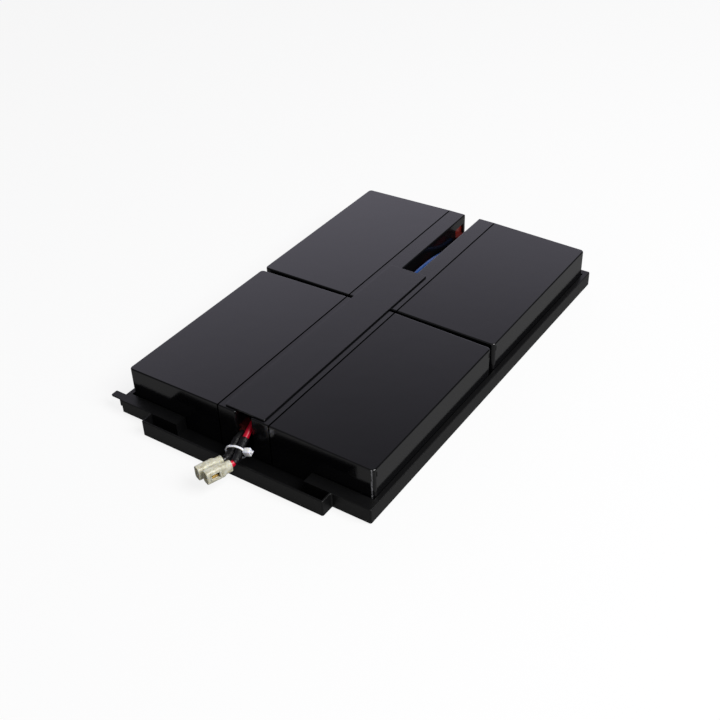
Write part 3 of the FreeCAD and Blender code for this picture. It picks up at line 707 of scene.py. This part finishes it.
def racetrack(travel, raised):
    """A place on the loop, and its outward lift, for a distance along the loop's inside."""
    half_round = math.pi * TIE_R
    if travel < half_round:
        angle = math.pi / 2 - travel / TIE_R
        centre = TIE_HALF_STRAIGHT
    elif travel < half_round + 2 * TIE_HALF_STRAIGHT:
        along_low = TIE_HALF_STRAIGHT - (travel - half_round)
        return along_low, -(TIE_R + raised)
    elif travel < 2 * half_round + 2 * TIE_HALF_STRAIGHT:
        angle = -math.pi / 2 - (travel - half_round - 2 * TIE_HALF_STRAIGHT) / TIE_R
        centre = -TIE_HALF_STRAIGHT
    else:
        along_top = -TIE_HALF_STRAIGHT + (travel - 2 * half_round - 2 * TIE_HALF_STRAIGHT)
        return along_top, TIE_R + raised
    radius = TIE_R + raised
    return centre + radius * math.cos(angle), radius * math.sin(angle)


def tooth_at(step):
    return TOOTH_DEPTH * (step % STEPS_PER_TOOTH == 0)


tie_skin = bmesh.new()
loop_length = 2 * math.pi * TIE_R + 4 * TIE_HALF_STRAIGHT
stations = STEPS_PER_TOOTH * round(loop_length / TOOTH_PITCH)
strap = []
for step in range(stations):
    tooth = tooth_at(step)
    outline = [(ahead, raised + tooth) for ahead, raised in STRAP_INSIDE] + STRAP_OUTSIDE
    loop = []
    for ahead, raised in outline:
        sideways, upward = racetrack(loop_length * step / stations, raised)
        loop.append(on_tie(ahead, sideways, upward))
    strap.append(loop)
loft(tie_skin, strap, ring=True)
print("teeth of the strap:", stations // STEPS_PER_TOOTH)


# %% [markdown]
# The head is a loft too: a block with soft edges that stands on the loop's side,
# with a mouth sunk into its far face. There the cut tail comes out, slanted as a
# side cutter leaves it, and it carries the same teeth as the strap.

# %% Cable tie, the head and the tail
TIE_HALF_WIDTH = 1.1
HEAD_HALF_LENGTH = 2.4
HEAD_HALF_WIDTH = 2.1
HEAD_HEIGHT = 5.0
HEAD_STEPS = [(0.0, 0.45, 0.45), (0.12, 0.18, 0.4), (0.45, 0.0, 0.6), (4.3, 0.0, 0.6), (4.82, 0.16, 0.5),
              (5.0, 0.42, 0.4)]
HEAD_MOUTH = [(1.36, 0.95, 0.0), (1.26, 0.8, 0.8)]
HEAD_MOUTH_CORNER = 0.2
TAIL_LENGTH = 1.7
TAIL_IN_HEAD = 1.2
TAIL_STEPS = 15
TAIL_SLANT = 0.25
TAIL_HALF_THICKNESS = 0.4


def head_loop(half_wide, half_long, corner, across):
    loop = []
    for bend in round_corners(half_wide, half_long, corner, 4):
        loop += [on_tie(TIE_HALF_WIDTH + wide, across, long) for wide, long in bend]
    return loop


def tail_outline(low):
    """The tail across its width, as places ahead and up, with its teeth on the lower side."""
    high = TAIL_HALF_THICKNESS
    return [(0.1, low), (0.3, low - 0.02), (1.9, low - 0.02), (2.1, low),
            (2.1, 0.3), (1.9, high), (0.3, high), (0.1, 0.3)]


head_start = TIE_HALF_STRAIGHT + TIE_R
head_end = head_start + HEAD_HEIGHT
head_loops = [head_loop(HEAD_HALF_WIDTH - inset, HEAD_HALF_LENGTH - inset, corner, head_start + rise)
              for rise, inset, corner in HEAD_STEPS]
head_loops += [head_loop(half_wide, half_long, HEAD_MOUTH_CORNER, head_end - depth)
               for half_wide, half_long, depth in HEAD_MOUTH]
loft(tie_skin, head_loops)

tail_end = head_end + TAIL_LENGTH
tail = []
for step in range(TAIL_STEPS + 1):
    across = head_end - TAIL_IN_HEAD + (tail_end - head_end + TAIL_IN_HEAD) * step / TAIL_STEPS
    slant = TAIL_SLANT * (step == TAIL_STEPS)
    tail.append([on_tie(ahead, across - slant * (ahead > TIE_HALF_WIDTH), up)
                 for ahead, up in tail_outline(tooth_at(step) - TAIL_HALF_THICKNESS)])
loft(tie_skin, tail)
tie = piece("cable_tie_strap", tie_skin, "tie_nylon", "cable_tie")


# %% [markdown]
# A nylon housing slides over each contact. It has a round-cornered collar for the
# lead, a shoulder, a wide flat body, and a mouth with a keyway for the other half.
# The skin is one ring: it runs forward along the outside, turns in at the mouth,
# and comes back along the bore. Each loop carries four extra points a side, which
# become the keyway in the mouth and lie flat everywhere else. The bore is nearly
# round, with only a sliver of flat side for them. Each step says how far along the
# housing it is and how much wider or narrower the loop is there.

# %% Connector housings, the skin
HOUSING_SIDE = Vector((0.93420, -0.35674, 0.0))
HOUSING_UP = Vector((-0.01058, -0.02771, 0.99956))
COLLAR = {"thickness": 6.0, "width": 8.4, "corner": 2.7, "steps": [
    (0.0, -0.5), (0.1, -0.2), (0.34, 0.0), (0.8, 0.05), (1.15, 0.0), (1.3, -0.16), (1.5, -0.16),
    (1.65, 0.0), (4.5, 0.0)]}
BODY = {"thickness": 6.2, "width": 9.6, "corner": 1.8, "steps": [
    (6.1, -0.04), (6.35, 0.0), (7.6, 0.0), (7.72, -0.14), (7.95, -0.14), (8.07, 0.0), (17.9, 0.0),
    (18.2, -0.08), (18.4, -0.26), (18.5, -0.5)]}
MOUTH = {"thickness": 2.7, "width": 7.9, "corner": 0.5, "key_width": 2.4, "key_height": 4.0, "steps": [
    (18.5, 0.5), (18.3, 0.16), (18.0, 0.0), (7.8, 0.0)]}
BORE_STEPS = [(7.8, 2.28), (0.5, 2.28), (0.1, 2.4), (0.0, 2.5)]
BORE_FLAT = 0.02
BORE_KEY_WIDTH = 0.03
PLAIN_KEY_WIDTH = 1.2
KEY_LEAN = 0.02


def keyed_loop(place, x, thickness, width, corner, key_width=PLAIN_KEY_WIDTH, key_height=None):
    """A rounded rectangle across the housing, with a keyway in its flat sides if it has a height."""
    half_y = thickness / 2
    key_y = key_height / 2 if key_height else half_y
    half_key = key_width / 2
    keyway = [(half_y, half_key + KEY_LEAN), (key_y, half_key), (key_y, -half_key),
              (half_y, -half_key - KEY_LEAN)]
    loop = []
    for turn, bend in enumerate(round_corners(half_y, width / 2, corner, 6)):
        loop += [place(x, y, z) for y, z in bend]
        if turn == 1:
            loop += [place(x, -y, z) for y, z in keyway]
        if turn == 3:
            loop += [place(x, y, z) for y, z in keyway[::-1]]
    return loop


def housing_skin(place):
    loops = []
    for part in (COLLAR, BODY):
        loops += [keyed_loop(place, x, part["thickness"] + grow, part["width"] + grow,
                             part["corner"] + grow / 2) for x, grow in part["steps"]]
    loops += [keyed_loop(place, x, MOUTH["thickness"] + grow, MOUTH["width"] + grow, MOUTH["corner"],
                         MOUTH["key_width"] + grow, MOUTH["key_height"] + grow) for x, grow in MOUTH["steps"]]
    loops += [keyed_loop(place, x, 2 * radius, 2 * radius, radius - BORE_FLAT, BORE_KEY_WIDTH)
              for x, radius in BORE_STEPS]
    skin = bmesh.new()
    loft(skin, loops, ring=True)
    return skin


print("loops of a housing:", sum(len(part["steps"]) for part in (COLLAR, BODY, MOUTH)) + len(BORE_STEPS))


# %% [markdown]
# A window in one flat side shows the contact's latch. It is cut with a Boolean
# modifier, because a hole across the loops would break their even count, and the
# cut is applied, so only plain mesh is left. A raised rim goes round the window.

# %% Connector housings, the window
WINDOW_PLACE = 12.4
WINDOW_LENGTH = 6.0
WINDOW_WIDTH = 4.4
CUT_FROM = 0.4
CUT_TO = 4.5
RIM_STEPS = [(0.0, 2.7), (0.0, 3.3), (0.2, 3.4), (0.62, 3.4), (0.8, 3.26), (0.8, 2.7)]
RIM_CORNER = 0.25
RIM_CORNER_GROWS = 0.9


def frame_ring(skin, place):
    """The raised rim round the window."""
    loops = []
    for grow, y in RIM_STEPS:
        loop = []
        for bend in round_corners(WINDOW_LENGTH / 2 + grow, WINDOW_WIDTH / 2 + grow,
                                  RIM_CORNER + grow * RIM_CORNER_GROWS, 4):
            loop += [place(WINDOW_PLACE + long, y, wide) for long, wide in bend]
        loops.append(loop)
    loft(skin, loops, ring=True)


def cut_window(made, place):
    """Takes the window out of one side of the housing, and applies the cut."""
    half_wide = WINDOW_WIDTH / 2
    cutter_skin = bmesh.new()
    loops = []
    for x in (WINDOW_PLACE - WINDOW_LENGTH / 2, WINDOW_PLACE + WINDOW_LENGTH / 2):
        loops.append([place(x, CUT_FROM, -half_wide), place(x, CUT_TO, -half_wide),
                      place(x, CUT_TO, half_wide), place(x, CUT_FROM, half_wide)])
    loft(cutter_skin, loops)
    bmesh.ops.recalc_face_normals(cutter_skin, faces=cutter_skin.faces)
    cutter_mesh = bpy.data.meshes.new("window_cutter")
    cutter_skin.to_mesh(cutter_mesh)
    cutter_skin.free()
    cutter = bpy.data.objects.new("window_cutter", cutter_mesh)
    cut = made.modifiers.new("window", "BOOLEAN")
    cut.object = cutter
    cut.solver = "EXACT"
    cut_mesh = bpy.data.meshes.new_from_object(made.evaluated_get(bpy.context.evaluated_depsgraph_get()))
    made.modifiers.clear()
    made.data = cut_mesh
    bpy.data.objects.remove(cutter)


def nylon_housing(name, back, node):
    def place(x, y, z):
        return Vector(back) + HOUSING_AHEAD * x + HOUSING_SIDE * y + HOUSING_UP * z

    made = piece(name, housing_skin(place), "housing_nylon", node)
    cut_window(made, place)
    rim = bmesh.new()
    rim.from_mesh(made.data)
    frame_ring(rim, place)
    bmesh.ops.recalc_face_normals(rim, faces=rim.faces)
    rim.to_mesh(made.data)
    rim.free()
    shade(made.data, HOUSING_EDGE)
    print(name, "after the window:", len(made.data.vertices), "vertices")
    return made


red_plug = nylon_housing("red_lead_housing", RED_HOUSING_BACK, "red_housing")
black_plug = nylon_housing("black_lead_housing", BLACK_HOUSING_BACK, "black_housing")


# %% [markdown]
# The three leads, red, black and blue, are the curves made above.


print("declared leads:", 3)


# %% [markdown]
# The object stands on a large floor. To the eye the floor is nearly white, and
# keeps a soft shadow. To other rays it is a grey card, with a tenth of the white
# mixed in for gloss, because black gloss shows what stands round it more than its
# own colour, and a white floor would wash out the upright sides. One softbox on
# the right lights the leads and the housings.

# %% Floor and softbox
FLOOR_HALF = 4.0
FLOOR_DROP = 0.0002
FLOOR_GREY = grey(0.2)
FLOOR_PALE = grey(0.9)
FLOOR_GLOW = 0.85
FLOOR_IN_GLOSS = 0.1
SOFTBOX = {"place": (1.3, 0.0, 1.5), "size": 1.1, "watts": 40.0}


def floor():
    mesh = bpy.data.meshes.new("floor")
    corners = [(-FLOOR_HALF, -FLOOR_HALF, -FLOOR_DROP), (FLOOR_HALF, -FLOOR_HALF, -FLOOR_DROP),
               (FLOOR_HALF, FLOOR_HALF, -FLOOR_DROP), (-FLOOR_HALF, FLOOR_HALF, -FLOOR_DROP)]
    mesh.from_pydata(corners, [], [(0, 1, 2, 3)])
    plane = bpy.data.objects.new("floor", mesh)
    bpy.context.collection.objects.link(plane)
    finish = Finish("floor")
    grey_card = finish.node("ShaderNodeBsdfDiffuse", None, {"Color": FLOOR_GREY})
    pale_card = finish.node("ShaderNodeBsdfDiffuse", None, {"Color": FLOOR_PALE})
    white = finish.node("ShaderNodeEmission", None, {"Color": FULL, "Strength": 1.0})
    backdrop = finish.node("ShaderNodeMixShader", None, {"Fac": FLOOR_GLOW, 1: pale_card, 2: white})
    mixed = finish.node("ShaderNodeMixShader", None, {
        "Fac": finish.seen_by_eye(FLOOR_IN_GLOSS), 1: grey_card, 2: backdrop})
    finish.node("ShaderNodeOutputMaterial", None, {"Surface": mixed})
    mesh.materials.append(finish.owner)


def softbox():
    data = bpy.data.lights.new("softbox", "AREA")
    data.shape = "RECTANGLE"
    data.size = SOFTBOX["size"]
    data.size_y = SOFTBOX["size"]
    data.energy = SOFTBOX["watts"]
    light = bpy.data.objects.new("softbox", data)
    light.location = SOFTBOX["place"]
    light.rotation_euler = (-Vector(SOFTBOX["place"])).to_track_quat("-Z", "Y").to_euler()
    bpy.context.collection.objects.link(light)


floor()
softbox()
print("lamps:", [light.name for light in bpy.data.lights])


# %% [markdown]
# The tops mirror a bright wall behind on the left, which fades upwards, and their
# edges sweep over a dark room, which draws thin dark lines. The sky is that room,
# made of ramps over the direction's height and heading: the wall, a weaker one in
# front on the right, and a faint ceiling. To the eye the sky is nearly white, and
# a trace of that white is mixed in for gloss.

# %% Sky
WALL_TOWARDS = (-0.66, 0.75, 0.0)
WALL_BY_HEIGHT = [(0.0, grey(0.9)), (0.34, grey(0.87)), (0.48, grey(0.68)), (0.545, grey(0.53)),
                  (0.588, grey(0.40)), (0.643, grey(0.26)), (0.75, grey(0.09)), (0.9, NONE)]
WALL_BY_HEADING = [(0.35, NONE), (0.55, grey(0.3)), (0.8, FULL)]
WALL_TINT = (1.2, 1.155, 1.38, 1.0)
FRONT_TOWARDS = (0.6, -0.8, 0.0)
FRONT_BY_HEADING = [(0.0, grey(0.02)), (0.9, grey(0.45))]
CEILING_BY_HEIGHT = [(0.84, NONE), (0.97, grey(0.14))]
SKY_PALE = grey(0.97)
SKY_IN_GLOSS = 0.04


def sky():
    world = bpy.data.worlds.new("sky")
    nodes = NodeTree(world)
    direction = nodes.node("ShaderNodeTexCoord", output="Generated")

    def facing(towards):
        return nodes.node("ShaderNodeVectorMath", {"operation": "DOT_PRODUCT"}, {
            0: direction, 1: towards}, output="Value")

    height = nodes.node("ShaderNodeSeparateXYZ", None, {0: direction}, output="Z")
    band = nodes.ramp(height, *WALL_BY_HEIGHT)
    aside = nodes.ramp(facing(WALL_TOWARDS), *WALL_BY_HEADING, smooth=True)
    wall = nodes.blend(1.0, nodes.blend(1.0, band, aside, "MULTIPLY"), WALL_TINT, "MULTIPLY")
    front_wall = nodes.ramp(facing(FRONT_TOWARDS), *FRONT_BY_HEADING, smooth=True)
    ceiling = nodes.ramp(height, *CEILING_BY_HEIGHT)
    room = nodes.blend(1.0, nodes.blend(1.0, wall, front_wall, "ADD"), ceiling, "ADD")
    seen = nodes.blend(nodes.seen_by_eye(SKY_IN_GLOSS), room, SKY_PALE)
    glow = nodes.node("ShaderNodeBackground", None, {"Color": seen, "Strength": 1.0})
    nodes.node("ShaderNodeOutputWorld", None, {"Surface": glow})
    return world


bpy.context.scene.world = sky()
bpy.context.scene.view_settings.view_transform = "Standard"
print("world:", bpy.context.scene.world.name)
